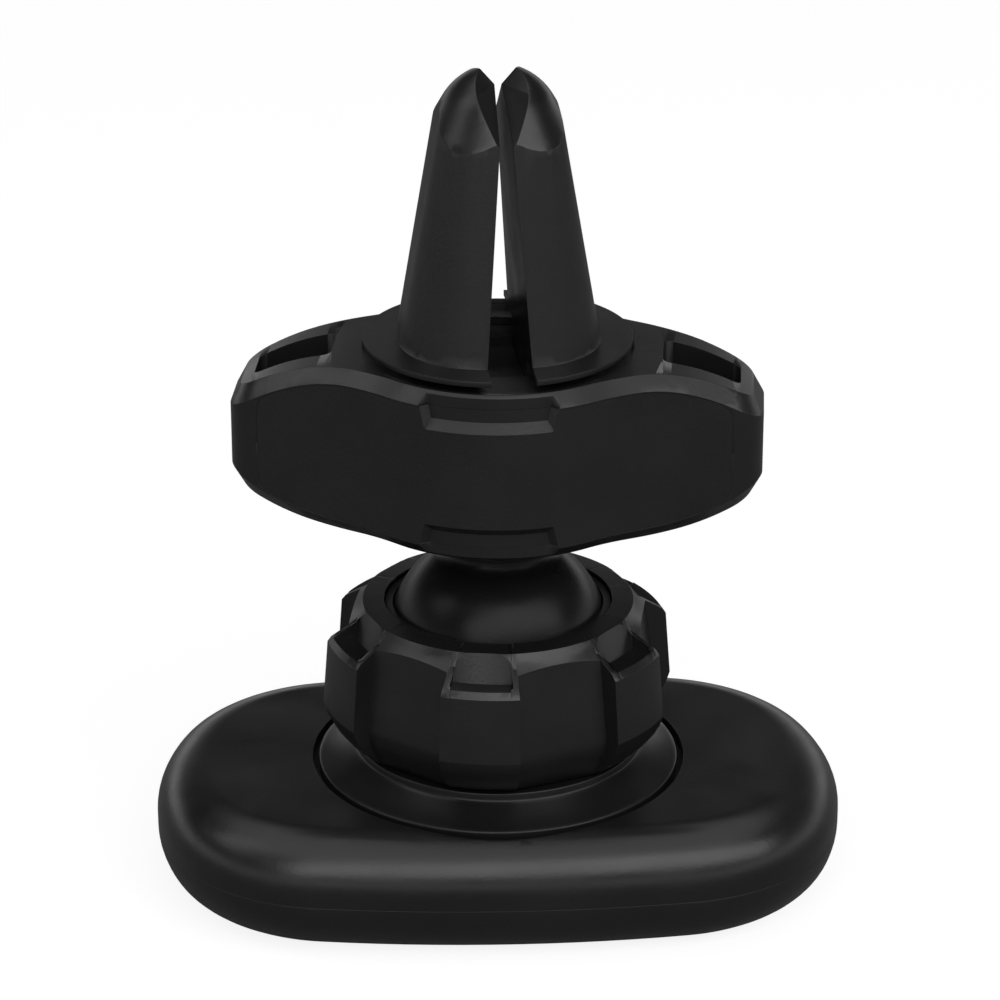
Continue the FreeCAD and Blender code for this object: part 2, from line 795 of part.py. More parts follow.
def front_view(body, inset):
    """Cut away all that lies outside the front view: flat in the middle, falling to the tips."""
    s = sketch(body, "XZ")
    box_loop(s, "wing_length", "wing_length", y=MIDDLE)
    reach = "(wing_length / 2 + 2)"
    radius = f"(crown_radius - {inset})"
    drop = f"({radius} - sqrt({radius}^2 - ({reach} - crown_flat)^2))"
    top, low = f"wing_top - {inset}", f"wing_bottom + {inset}"
    loop(s, [
        ("-crown_flat", low),
        ("crown_flat", low, radius, "left"),
        (reach, f"{low} + {drop}"),
        (reach, f"{top} - {drop}", radius, "left"),
        ("crown_flat", top),
        ("-crown_flat", top, radius, "left"),
        (f"-{reach}", f"{top} - {drop}"),
        (f"-{reach}", f"{low} + {drop}", radius, "left"),
    ])
    return pocket(body, s, both=True)


def rim(rise):
    """Picks the edges all round the upper (+1) or lower (-1) face of the clip body."""
    middle, flat = now(MIDDLE), now("crown_flat")

    def chosen(edge):
        box = edge.BoundBox
        level = box.ZMin - middle if rise > 0 else middle - box.ZMax
        across = box.XLength < 1e-4 and abs(abs(box.XMin) - flat) < 1e-3
        return level > 2 and not across

    return chosen


def clip_block(name, rise):
    """One shell before it is cut: half the height of the clip body, bevelled all round."""
    body = new_body(name)
    plan = sketch(body, "XY", MIDDLE if rise > 0 else "wing_bottom")
    wing_plan(plan)
    pad(body, plan, "(wing_top - wing_bottom) / 2")
    shaped = front_view(body, "0")
    dressed(body, "Chamfer", shaped, rim(rise), "wing_bevel")
    return body


FASCIA_EDGE = "(wing_bevel + 0.1)"


def fascia(name, side, growth="0", outer="0"):
    """Curved strip let into the front or rear of the shells; grown, it is the bed they leave for it."""
    body = new_body(name)
    plan = sketch(body, "XY", "wing_bottom")
    inner, end = f"(fascia_thickness + {growth})", f"(fascia_length / 2 + {growth})"
    wing_strip(plan, outer, inner, end, side)
    pad(body, plan, "wing_top - wing_bottom")
    shaped = front_view(body, f"({FASCIA_EDGE} - {growth})")
    reach = now(end)

    def end_corner(edge):
        box = edge.BoundBox
        return box.XLength < 1e-3 and box.ZLength < 1e-3 and abs(abs(box.XMin) - reach) < 1e-3

    dressed(body, "Fillet", shaped, end_corner, f"fascia_corner + {growth}")
    return body


def recess(name, rise):
    """What is cut from front and rear in the middle: a shallow recess with bevelled ends and ledge."""
    body = new_body(name)
    start = "recess_foot" if rise > 0 else "wing_bottom - 1"
    plan = sketch(body, "XY", start)
    half, deep = "(recess_top_width / 2 + 1)", "(bulge_radius - recess_depth)"
    reach = f"({BULGE_Y} + sqrt({deep}^2 - {half}^2))"
    out = "(wing_depth / 2 + 1)"
    loop(plan, [
        (half, f"-{reach}", deep, "right"),
        (f"-{half}", f"-{reach}"),
        (f"-{half}", f"-{out}"),
        (half, f"-{out}"),
    ])
    loop(plan, [
        (f"-{half}", reach, deep, "right"),
        (half, reach),
        (half, out),
        (f"-{half}", out),
    ])
    pad(body, plan, "wing_top - recess_foot + 1")
    ends = sketch(body, "XZ")
    box_loop(ends, "wing_length", "wing_length", y=MIDDLE)
    sign = "" if rise > 0 else "-"
    foot, top = "recess_foot_width / 2", "recess_top_width / 2"
    slope = f"(({top} - {foot}) / (wing_top - recess_foot))"
    far = f"({top} + 2 * {slope})"
    low = f"{MIDDLE} + {sign}(recess_foot - {MIDDLE})"
    high = f"{MIDDLE} + {sign}(wing_top + 2 - {MIDDLE})"
    loop(ends, [(f"-{foot}", low), (foot, low), (far, high), (f"-{far}", high)])
    shaped = pocket(body, ends, both=True)
    radius = now(deep)
    centre = now(BULGE_Y)
    foot_z, open_z = now(low), now(high)

    def inner_edge(edge):
        middle = edge.valueAt((edge.FirstParameter + edge.LastParameter) / 2)
        on_wall = abs((middle.x**2 + (abs(middle.y) - centre) ** 2) ** 0.5 - radius) < 1e-3
        return on_wall and abs(middle.z - open_z) > 0.9 and abs(middle.z - open_z) < abs(foot_z - open_z) + 0.1

    dressed(body, "Chamfer", shaped, inner_edge, "recess_depth * 0.9")
    return body


def arm_slots():
    """What is cut from the top of each arm: a tapered slot with round corners."""
    body = new_body("arm_slots")
    plan = sketch(body, "XY", "wing_top - slot_depth")
    near, far = "slot_width / 2", "slot_end_width / 2"
    for x in ("", "-"):
        points = [("slot_start", f"-{near}"), ("slot_end", f"-{far}"), ("slot_end", far), ("slot_start", near)]
        loop(plan, [(f"{x}{a}", b) for a, b in points])
    block = pad(body, plan, "slot_depth + 1")
    dressed(body, "Fillet", block, lambda e: e.BoundBox.ZLength > 1, "slot_corner")
    return body


SCREW_SEAT = "(wing_bottom + shell_screw_cover)"


def lower_shell():
    """Lower half: floor that traps the post's foot, bore for the turret, counterbored screw holes."""
    body = clip_block("lower_block", -1)
    foot = sketch(body, "XY", "wing_bottom + shell_floor")
    circle(foot, "neck_foot_radius + fit_gap")
    pocket(body, foot, "wing_depth", up=True)
    bore = sketch(body, "XY", "wing_bottom + shell_floor + neck_foot_height")
    circle(bore, "drum_radius + drum_gap")
    pocket(body, bore, "wing_depth", up=True)
    hole = sketch(body, "XY", "wing_bottom + shell_floor + 1")
    circle(hole, "neck_radius + 0.4 * fit_gap")
    pocket(body, hole)
    heads = sketch(body, "XY", SCREW_SEAT)
    shanks = sketch(body, "XY", MIDDLE)
    for x in ("shell_screw_spread", "-shell_screw_spread"):
        circle(heads, "shell_screw_head + fit_gap", x)
        circle(shanks, "shell_screw_radius + fit_gap", x)
    pocket(body, heads)
    pocket(body, shanks)
    return body


def upper_shell():
    """Upper half: bore for the turret, collar that keeps it down, dish under the jaws' flange."""
    body = clip_block("upper_block", 1)
    bore = sketch(body, "XY", "drum_top + drum_gap")
    circle(bore, "drum_radius + drum_gap")
    pocket(body, bore)
    neck = sketch(body, "XY", "wing_top")
    circle(neck, "bore_radius")
    pocket(body, neck)
    dish = sketch(body, "XY", "wing_top")
    circle(dish, "dish_radius")
    pocket(body, dish, "dish_depth")
    pilots = sketch(body, "XY", f"{SCREW_SEAT} + shell_screw_length + 0.5")
    for x in ("shell_screw_spread", "-shell_screw_spread"):
        circle(pilots, "shell_screw_radius + 0.4 * fit_gap", x)
    pocket(body, pilots)
    return body


def shell_screws():
    """Two screws up through the lower shell into the upper one."""
    body = new_body("shell_screws")
    heads = sketch(body, "XY", f"{SCREW_SEAT} - shell_screw_head_height")
    shanks = sketch(body, "XY", f"{SCREW_SEAT} - 0.1")
    for x in ("shell_screw_spread", "-shell_screw_spread"):
        circle(heads, "shell_screw_head", x)
        circle(shanks, "shell_screw_radius", x)
    pad(body, heads, "shell_screw_head_height")
    pad(body, shanks, "shell_screw_length + 0.1")
    return body


WASHER_SEAT = "wing_bottom + shell_floor + neck_foot_height"
TURRET_FOOT = f"{WASHER_SEAT} + washer_thickness + pin_gap"


def swivel_washer():
    """Slippery washer under the turret."""
    body = new_body("swivel_washer")
    plan = sketch(body, "XY", WASHER_SEAT)
    circle(plan, "drum_radius - 5 * drum_gap")
    circle(plan, "ball_screw_radius")
    pad(body, plan, "washer_thickness")
    return body


# Turret, hinge pins and spring
def turret():
    """Round carrier of the jaws: drum under the shell's collar, neck through it, slot, stop and pin holes."""
    body = new_body("turret")
    profile = sketch(body, "XZ")
    loop(profile, [
        ("0", TURRET_FOOT),
        ("drum_radius", TURRET_FOOT),
        ("drum_radius", "drum_top"),
        ("bore_radius - drum_gap", "drum_top"),
        ("bore_radius - drum_gap", "turret_top"),
        ("0", "turret_top"),
    ])
    turned(body, profile)
    slot = sketch(body, "XY", f"{TURRET_FOOT} + turret_floor")
    box_loop(slot, "jaw_well_length / 2", "jaw_well_width / 2")
    pocket(body, slot, "wing_depth", up=True)
    stop = sketch(body, "XY", "stop_bottom")
    box_loop(stop, "jaw_slot / 2 - 0.6 * fit_gap", "jaw_well_width / 2 + 0.5")
    pad(body, stop, "stop_top - stop_bottom")
    holes = sketch(body, "XZ")
    for x in ("pivot_spread", "-pivot_spread"):
        circle(holes, "pin_radius + 0.2 * fit_gap", x, "pivot_height")
    pocket(body, holes, "pin_length + 0.1", both=True)
    return body


def hinge_pins():
    """Two steel pins across the turret."""
    body = new_body("hinge_pins")
    plan = sketch(body, "XZ")
    for x in ("pivot_spread", "-pivot_spread"):
        circle(plan, "pin_radius", x, "pivot_height")
    pad(body, plan, "pin_length", both=True)
    return body


def jaw_spring():
    """Coil spring on its side between the jaws' tails, drawn upright and then laid down."""
    body = new_body("jaw_spring")
    wire = sketch(body, "XZ")
    length = "(2 * tail_inner - 2 * spring_wire)"
    circle(wire, "spring_wire", "spring_radius", f"-{length} / 2")
    coil = body.newObject("PartDesign::AdditiveHelix", "coil")
    coil.Profile = wire
    coil.ReferenceAxis = (wire, ["V_Axis"])
    coil.Mode = 0
    bind(coil, Pitch=f"{length} / spring_turns", Height=length)
    lying = "rotation(vector(0; 0; 1); jaw_angle) * rotation(vector(0; 1; 0); 90)"
    body.setExpression("Placement", tied(f"placement(vector(0; 0; spring_height); {lying})"))
    return body


# Jaws
def jaw(name):
    """One jaw: half of the round flange, tapering grip above it, root with pin eye and spring tail below."""
    body = new_body(name)
    root = sketch(body, "XZ")
    half_slot = "jaw_slot / 2"
    loop(root, [
        (half_slot, "flange_top"),
        (half_slot, "pivot_height"),
        ("tail_inner", "tail_top"),
        ("tail_inner", "tail_bottom"),
        ("tail_outer", "tail_bottom"),
        ("tail_outer", "pivot_height"),
        ("root_radius", "pivot_height"),
        ("root_radius", "flange_top"),
    ])
    pad(body, root, "root_width", both=True)
    eye = sketch(body, "XZ")
    circle(eye, "pivot_eye", "pivot_spread", "pivot_height")
    pad(body, eye, "root_width", both=True)
    neck = sketch(body, "XZ")
    box_loop(neck, "2", "(flange_top - drum_top + 0.5) / 2", "root_radius + 2", "(flange_top + drum_top - 0.5) / 2")
    turned(body, neck, cut=True)
    flange = sketch(body, "XY", "flange_top - flange_thickness")
    circle(flange, "flange_radius")
    disc = pad(body, flange, "flange_thickness")
    foot = sketch(body, "XY", "flange_top - 0.1")
    round_box(foot, "jaw_base_width / 2", "jaw_base_depth / 2", "jaw_base_corner")
    tip = sketch(body, "XY", "jaw_height + 0.1")
    round_box(tip, "jaw_top_width / 2", "jaw_top_depth / 2", "jaw_top_corner")
    grip = feature(body, "AdditiveLoft", foot)
    grip.Sections = [tip]
    grip.Ruled = True
    dome = sketch(body, "XZ")
    loop(dome, [
        ("0", "jaw_height", "crown_dome", "right"),
        ("crown_dome * cos(crown_lean)", "jaw_height - crown_dome * (1 - sin(crown_lean))"),
        ("crown_dome * cos(crown_lean) + 4 * tan(crown_lean)",
         "jaw_height - crown_dome * (1 - sin(crown_lean)) - 4"),
        ("crown_dome + 6", "jaw_height - crown_dome * (1 - sin(crown_lean)) - 4"),
        ("crown_dome + 6", "jaw_height + 2"),
        ("0", "jaw_height + 2"),
    ])
    turned(body, dome, cut=True)
    inner = sketch(body, "XZ")
    tip_x = "jaw_tip_gap / 2"
    loop(inner, [
        (half_slot, "tail_bottom - 1"),
        (half_slot, "flange_top"),
        (tip_x, "jaw_shoulder"),
        (tip_x, "jaw_height + 2"),
        ("-wing_length / 2", "jaw_height + 2"),
        ("-wing_length / 2", "tail_bottom - 1"),
    ])
    pocket(body, inner, both=True)
    low = sketch(body, "XY", "lead_in_bottom")
    high = sketch(body, "XY", "jaw_height + 1")
    for s, x in ((low, "lead_in_foot"), (high, "lead_in_head")):
        out, run = "jaw_top_depth", "lead_in_run"
        loop(s, [
            (x, "0"),
            (f"{x} + {run}", out),
            ("-jaw_top_width", out),
            ("-jaw_top_width", f"-{out}"),
            (f"{x} + {run}", f"-{out}"),
        ])
    lead = feature(body, "SubtractiveLoft", low)
    lead.Sections = [high]
    lead.Ruled = True
    bore = sketch(body, "XZ")
    circle(bore, "pin_radius + pin_gap", "pivot_spread", "pivot_height")
    pocket(body, bore, both=True)
    return body


for make, angle in (
    (head_cover, None),
    (head_tray, None),
    (face_pad, None),
    (yoke_plate, None),
    (magnets, None),
    (ball_socket, None),
    (socket_screws, None),
    (friction_collar, None),
    (ball, None),
    (neck_post, "wing_angle"),
    (ball_screw, "wing_angle"),
    (shell_screws, "wing_angle"),
    (swivel_washer, "wing_angle"),
    (turret, "jaw_angle"),
    (hinge_pins, "jaw_angle"),
    (jaw_spring, None),
):
    keep(make(), angle)

keep(boolean("Cut", "clamp_nut", clamp_nut(), [thumb_pockets()]), "nut_angle")
keep(jaw("jaw_right"), "jaw_angle")
keep(jaw("jaw_left"), "jaw_angle + 180")

grown = "fascia_gap"
beds = [fascia("front_bed", "-", grown, "(-1)"), fascia("rear_bed", "", grown, "(-1)")]
notches = [recess("upper_recess", 1), recess("lower_recess", -1)]
keep(boolean("Cut", "clip_upper_shell", upper_shell(), [*beds, notches[0], arm_slots()]), "wing_angle")
keep(boolean("Cut", "clip_lower_shell", lower_shell(), [*beds, notches[1]]), "wing_angle")
keep(boolean("Cut", "front_fascia", fascia("front_strip", "-"), notches), "wing_angle")
keep(boolean("Cut", "rear_fascia", fascia("rear_strip", ""), notches), "wing_angle")

doc.recompute()
faults = [f"{o.Label} {o.State}" for o in doc.Objects if {"Invalid", "Error"} & set(o.State)]
for thing in parts:
    shape = thing.Shape
    if shape.isNull() or not shape.isValid():
        faults.append(f"{thing.Label} has no valid shape")
    else:
        print(thing.Label, len(shape.Solids), round(shape.Volume, 2), shape.BoundBox)
if faults:
    raise SystemExit("\n".join(faults))
os.makedirs("parts", exist_ok=True)
for thing in parts:
    thing.Shape.exportStep(f"parts/{thing.Label}.step")
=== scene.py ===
import math

import bmesh
import bpy
from mathutils import Matrix, Vector


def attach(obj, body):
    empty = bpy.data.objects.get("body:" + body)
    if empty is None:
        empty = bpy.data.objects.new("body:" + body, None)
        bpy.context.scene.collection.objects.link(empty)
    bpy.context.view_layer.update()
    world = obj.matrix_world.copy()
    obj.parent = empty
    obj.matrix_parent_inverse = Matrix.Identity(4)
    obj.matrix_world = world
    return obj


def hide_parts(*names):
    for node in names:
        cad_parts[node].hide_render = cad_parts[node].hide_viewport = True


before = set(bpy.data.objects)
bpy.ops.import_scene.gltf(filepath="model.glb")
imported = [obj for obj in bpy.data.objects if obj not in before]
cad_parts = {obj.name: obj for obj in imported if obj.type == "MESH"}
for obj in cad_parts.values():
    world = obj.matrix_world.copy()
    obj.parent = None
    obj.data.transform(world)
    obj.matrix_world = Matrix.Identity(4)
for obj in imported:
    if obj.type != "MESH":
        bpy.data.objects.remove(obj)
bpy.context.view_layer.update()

# The camera stands in front of the holder and a little above it, and looks down on the head,
# with a long lens. Its place was worked out from the ellipses of the socket and of the flange.
CAMERA_YAW = math.radians(-2)
CAMERA_PITCH = math.radians(22.555)
CAMERA_PLACE = Vector((0.00018, -0.320, 0.1696))
SENSOR_MM = 36
LENS_MM = 138.8
NEAREST = 0.01
camera = bpy.data.objects.new("camera", bpy.data.cameras.new("camera"))
camera.location = Matrix.Rotation(CAMERA_YAW, 3, "Z") @ CAMERA_PLACE
camera.rotation_euler = (math.pi / 2 - CAMERA_PITCH, 0, CAMERA_YAW)
camera.data.sensor_width = SENSOR_MM
camera.data.lens = LENS_MM
camera.data.clip_start = NEAREST
bpy.context.collection.objects.link(camera)
bpy.context.scene.camera = camera
bpy.context.scene.view_settings.view_transform = "Standard"


# The room is a white studio. The lens, and anything that mirrors or lets light through, sees
# its white; what falls on the holder from the walls is dimmer.
def blank_material(name):
    """A new node material and its empty tree."""
    material = bpy.data.materials.new(name)
    material.use_nodes = True
    tree = material.node_tree
    tree.nodes.clear()
    return material, tree


def node(tree, kind, **inputs):
    """A node of this kind. Inputs are named with _ for spaces, and take a value or another node's output."""
    made = tree.nodes.new("ShaderNode" + kind)
    for name, value in inputs.items():
        socket = made.inputs[name.replace("_", " ")]
        if isinstance(value, bpy.types.NodeSocket):
            tree.links.new(value, socket)
        else:
            socket.default_value = value
    return made


def joined(tree, operation, first, second):
    """The output of a Math node."""
    made = tree.nodes.new("ShaderNodeMath")
    made.operation = operation
    for socket, value in zip(made.inputs, (first, second)):
        if isinstance(value, bpy.types.NodeSocket):
            tree.links.new(value, socket)
        else:
            socket.default_value = value
    return made.outputs[0]


def seen_straight(tree):
    """1 for what the lens, a gloss or a clear body shows, else 0."""
    path = node(tree, "LightPath")
    seen = joined(tree, "MAXIMUM", path.outputs["Is Camera Ray"], path.outputs["Is Glossy Ray"])
    return joined(tree, "MAXIMUM", seen, path.outputs["Is Transmission Ray"])


ROOM_WHITE = 1.0
ROOM_AMBIENT = 0.45
world = bpy.data.worlds.new("studio")
bpy.context.scene.world = world
world.use_nodes = True
room = world.node_tree
room.nodes.clear()
walls = node(room, "Background", Color=(1, 1, 1, 1))
strength = joined(room, "MULTIPLY", seen_straight(room), ROOM_WHITE - ROOM_AMBIENT)
room.links.new(joined(room, "ADD", strength, ROOM_AMBIENT), walls.inputs["Strength"])
room.links.new(walls.outputs[0], node(room, "OutputWorld").inputs["Surface"])


# The floor is a sheet of pale board, a hair under the pad. It takes the holder's shadow and fades
# into the white room. From below it is clear, so that the underside shows.
def staged(name, points, faces):
    """A piece of the set, which isn't part of the holder."""
    mesh = bpy.data.meshes.new(name)
    mesh.from_pydata(points, [], faces)
    made = bpy.data.objects.new(name, mesh)
    bpy.context.collection.objects.link(made)
    return made


FLOOR_HALF = 3.0
FLOOR_DROP = 0.00002
FLOOR_PAINT = 0.27
FLOOR_GLOW = 0.86
corners = [(x * FLOOR_HALF, y * FLOOR_HALF, 0) for x, y in ((-1, -1), (1, -1), (1, 1), (-1, 1))]
floor = staged("floor", corners, [(0, 1, 2, 3)])
floor.location.z = -FLOOR_DROP
board, tree = blank_material("pale_board")
paint = node(tree, "BsdfDiffuse", Color=(FLOOR_PAINT, FLOOR_PAINT, FLOOR_PAINT, 1))
lens = node(tree, "LightPath").outputs["Is Camera Ray"]
glow = node(tree, "Emission", Color=(1, 1, 1, 1), Strength=joined(tree, "MULTIPLY", lens, FLOOR_GLOW))
mixed = tree.nodes.new("ShaderNodeAddShader")
tree.links.new(paint.outputs[0], mixed.inputs[0])
tree.links.new(glow.outputs[0], mixed.inputs[1])
sides = tree.nodes.new("ShaderNodeMixShader")
tree.links.new(node(tree, "NewGeometry").outputs["Backfacing"], sides.inputs[0])
tree.links.new(mixed.outputs[0], sides.inputs[1])
tree.links.new(tree.nodes.new("ShaderNodeBsdfTransparent").outputs[0], sides.inputs[2])
tree.links.new(sides.outputs[0], node(tree, "OutputMaterial").inputs["Surface"])
floor.data.materials.append(board)


# A ring of black cloth hangs over the set's edge, out of the lens's sight. It keeps the walls'
# white from the level faces. Under its hem the white room shows, and gives the upright edges
# their bright rims.
CLOTH_RADIUS = 1.4
CLOTH_HEM = 0.30
CLOTH_TOP = 1.6
CLOTH_SIDES = 24
CLOTH_BLACK = 0.04


def at_angle(radius, angle, height):
    """The point at this distance from the upright axis, at an angle from +X."""
    return (radius * math.cos(angle), radius * math.sin(angle), height)


edges = [at_angle(CLOTH_RADIUS, k * math.tau / CLOTH_SIDES, z) for z in (CLOTH_HEM, CLOTH_TOP)
         for k in range(CLOTH_SIDES)]
strips = [(k, (k + 1) % CLOTH_SIDES, (k + 1) % CLOTH_SIDES + CLOTH_SIDES, k + CLOTH_SIDES)
          for k in range(CLOTH_SIDES)]
cloths = staged("black_cloths", edges, strips)
cloths.visible_camera = False
cloths.visible_transmission = False
dark, tree = blank_material("black_cloth")
weave = node(tree, "BsdfDiffuse", Color=(CLOTH_BLACK, CLOTH_BLACK, CLOTH_BLACK, 1))
tree.links.new(weave.outputs[0], node(tree, "OutputMaterial").inputs["Surface"])
cloths.data.materials.append(dark)


# The key light is a broad soft box over the lens and to its right. A second, smaller one stands
# to the left. Both are turned to the middle of the holder.
LAMP_DISTANCE = 0.85
AIM = Vector((0, 0, 0.035))


def soft_box(name, azimuth, elevation, width, height, brightness):
    """A soft box that faces the holder, from an azimuth right of the lens and an elevation, in degrees."""
    lamp = bpy.data.lights.new(name, "AREA")
    lamp.shape = "RECTANGLE"
    lamp.size = width
    lamp.size_y = height
    lamp.energy = brightness * math.pi * width * height
    made = bpy.data.objects.new(name, lamp)
    turn = math.radians(azimuth) + CAMERA_YAW
    rise = math.radians(elevation)
    towards = Vector((math.sin(turn) * math.cos(rise), -math.cos(turn) * math.cos(rise), math.sin(rise)))
    made.location = AIM + towards * LAMP_DISTANCE
    made.rotation_euler = (-towards).to_track_quat("-Z", "Y").to_euler()
    bpy.context.collection.objects.link(made)


soft_box("key_box", 22, 39, 2.0, 0.46, 2.6)
soft_box("left_box", -84, 40, 0.36, 0.36, 1.6)


# The head's cover and tray are moulded in black plastic with a fine spark-eroded grain. They are
# one pillow in two halves, pressed together by a lip, with a hairline seam round the middle.
BLACK = (0.0085, 0.0084, 0.0087)
GRAIN_SCALE = 3200
CREASE = math.radians(22)
WELD_GAP = 0.000002


def speckle(tree, where, scale, detail, low, high):
    """A noise of this many grains to the metre, spread between two values."""
    grain = node(tree, "TexNoise", Vector=where, Scale=scale, Detail=detail, Roughness=0.6)
    spread = node(tree, "MapRange", Value=grain.outputs["Fac"], From_Min=0.3, From_Max=0.7, To_Min=low, To_Max=high)
    return spread.outputs[0]


def surface(tree, where, shader, grain_scale, detail, strength, depth):
    """Gives a shader the relief of a fine grain of this depth, and joins it to the output."""
    fine = node(tree, "TexNoise", Vector=where, Scale=grain_scale, Detail=detail)
    relief = node(tree, "Bump", Strength=strength, Distance=depth, Height=fine.outputs["Fac"])
    tree.links.new(relief.outputs[0], shader.inputs["Normal"])
    tree.links.new(shader.outputs[0], node(tree, "OutputMaterial").inputs["Surface"])


def moulded_plastic(name, roughness, colour=BLACK, grain=0.00002, gloss=0.5):
    """Black moulded plastic: fine grain, faint clouding of its gloss, tint a little uneven."""
    material, tree = blank_material(name)
    where = node(tree, "TexCoord").outputs["Object"]
    tint = tree.nodes.new("ShaderNodeVectorMath")
    tint.operation = "SCALE"
    tint.inputs[0].default_value = colour
    tree.links.new(speckle(tree, where, 90, 3, 0.85, 1.2), tint.inputs["Scale"])
    plastic = node(tree, "BsdfPrincipled", Base_Color=tint.outputs[0], Specular_IOR_Level=gloss,
                   Roughness=speckle(tree, where, 140, 4, roughness - 0.05, roughness + 0.06))
    surface(tree, where, plastic, GRAIN_SCALE, 2.0, 0.55, grain)
    return material


def soften(thing, edge):
    """Rounds the edges that are sharper than the crease angle, and shades the faces up to them."""
    bevel = thing.modifiers.new("edges", "BEVEL")
    bevel.width = edge
    bevel.segments = 2
    bevel.limit_method = "ANGLE"
    bevel.angle_limit = CREASE
    shading = thing.modifiers.new("shading", "WEIGHTED_NORMAL")
    shading.mode = "FACE_AREA_WITH_ANGLE"


def finish_node(name, material, edge=0.00012):
    """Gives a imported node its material, and takes the sharpness off its edges as a mould does."""
    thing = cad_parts[name]
    thing.data.materials.clear()
    thing.data.materials.append(material)
    if edge:
        weld = thing.modifiers.new("weld", "WELD")
        weld.merge_threshold = WELD_GAP
        soften(thing, edge)


head_plastic = moulded_plastic("head_plastic", 0.32)
finish_node("head_cover", head_plastic)
finish_node("head_tray", head_plastic)


# The face pad is a sheet of soft black silicone, cut to shape and glued into the tray. The phone
# lies against it, and its dull surface keeps the phone from slipping.
def soft_rubber(name, colour):
    """Dull rubber with a coarse, shallow grain and a faint bloom at its edges."""
    material, tree = blank_material(name)
    where = node(tree, "TexCoord").outputs["Object"]
    rubber = node(tree, "BsdfPrincipled", Base_Color=(*colour, 1), Sheen_Weight=0.15,
                  Roughness=speckle(tree, where, 300, 3, 0.72, 0.9))
    surface(tree, where, rubber, 1500, 3.0, 0.4, 0.00005)
    return material


finish_node("face_pad", soft_rubber("pad_silicone", (0.02, 0.02, 0.021)), 0.0001)


# The yoke plate is punched from zinc-plated steel. The magnets are nickel-plated discs, which
# lie in the tray's wells under it. Both are closed in by the head.
def plated_metal(name, colour, roughness):
    """Plated metal with the faint, uneven dulling of a barrel-plated part."""
    material, tree = blank_material(name)
    where = node(tree, "TexCoord").outputs["Object"]
    metal = node(tree, "BsdfPrincipled", Base_Color=(*colour, 1), Metallic=1.0,
                 Roughness=speckle(tree, where, 500, 4, roughness - 0.06, roughness + 0.1))
    surface(tree, where, metal, 3000, 2.0, 0.2, 0.00001)
    return material


zinc = plated_metal("zinc_plate", (0.55, 0.56, 0.58), 0.35)
finish_node("yoke_plate", zinc)
finish_node("magnets", plated_metal("nickel_plate", (0.62, 0.6, 0.56), 0.22))


# The ball socket is a separate moulding in the cover's ring groove, held by three screws from
# within. Its flange rises in a shallow flare to the cup that the ball sits in. Its sizes are in
# millimetres, as are the nut's.
MM = 0.001
MERGE_GAP = 0.004 * MM


def moulding(name, columns, material, body, node_name, edge, closed=True):
    """A solid skinned over columns of points, which follow one another round it, with soft edges."""
    mesh = bpy.data.meshes.new(name)
    work = bmesh.new()
    rows = [[work.verts.new(Vector(point) * MM) for point in column] for column in columns]
    for k, row in enumerate(rows):
        after = rows[(k + 1) % len(rows)]
        for j in range(len(row) if closed else len(row) - 1):
            up = (j + 1) % len(row)
            work.faces.new((row[j], after[j], after[up], row[up]))
    bmesh.ops.remove_doubles(work, verts=work.verts, dist=MERGE_GAP)
    bmesh.ops.recalc_face_normals(work, faces=work.faces)
    for face in work.faces:
        face.smooth = True
    work.to_mesh(mesh)
    work.free()
    made = bpy.data.objects.new(name, mesh)
    bpy.context.collection.objects.link(made)
    mesh.materials.append(material)
    soften(made, edge)
    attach(made, body)
    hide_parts(node_name)


def arc_points(start, stop, radius, count, side=1):
    """Points between two of a profile, on the arc of this radius that bulges outwards, or inwards at -1."""
    a, b = Vector(start), Vector(stop)
    chord = b - a
    across = Vector((chord.y, -chord.x)).normalized() * side
    centre = (a + b) / 2 - across * math.sqrt(max(radius**2 - chord.length_squared / 4, 0))
    first, last = a - centre, b - centre
    turn = first.angle_signed(last)
    return [tuple(centre + Matrix.Rotation(-turn * k / count, 2) @ first) for k in range(1, count)]


SOCKET_SIDES = 144
SOCKET_EDGE = 0.00014
FLANGE_FOOT, FLANGE_TOP = (16.5, 10.6), (16.5, 11.7)
FLARE_TOP, FLARE_RADIUS, FLARE_STEPS = (13.1, 13.1), 9.0, 8
SPIGOT = [(13.1, 13.8), (11.9, 13.8), (11.9, 22.0)]
BALL_CENTRE = 23.2
CUP_RADIUS = 10.2
CUP_MOUTH, CUP_STEP, CUP_POINTS = 83, 9.2, 10
AXIS_GAP = 0.01
cup = [(CUP_RADIUS * math.sin(angle), BALL_CENTRE - CUP_RADIUS * math.cos(angle)) for angle in
       (math.radians(CUP_MOUTH - CUP_STEP * k) for k in range(CUP_POINTS))]
flare = arc_points(FLANGE_TOP, FLARE_TOP, FLARE_RADIUS, FLARE_STEPS, -1)
socket_profile = [(AXIS_GAP, FLANGE_FOOT[1]), FLANGE_FOOT, FLANGE_TOP, *flare, FLARE_TOP, *SPIGOT, *cup]
socket_columns = [[at_angle(r, k * math.tau / SOCKET_SIDES, z) for r, z in socket_profile]
                  for k in range(SOCKET_SIDES)]
socket_plastic = moulded_plastic("socket_plastic", 0.33, gloss=0.3)
moulding("ball_socket_moulding", socket_columns, socket_plastic, "head", "ball_socket", SOCKET_EDGE, closed=False)
finish_node("socket_screws", zinc, 0)


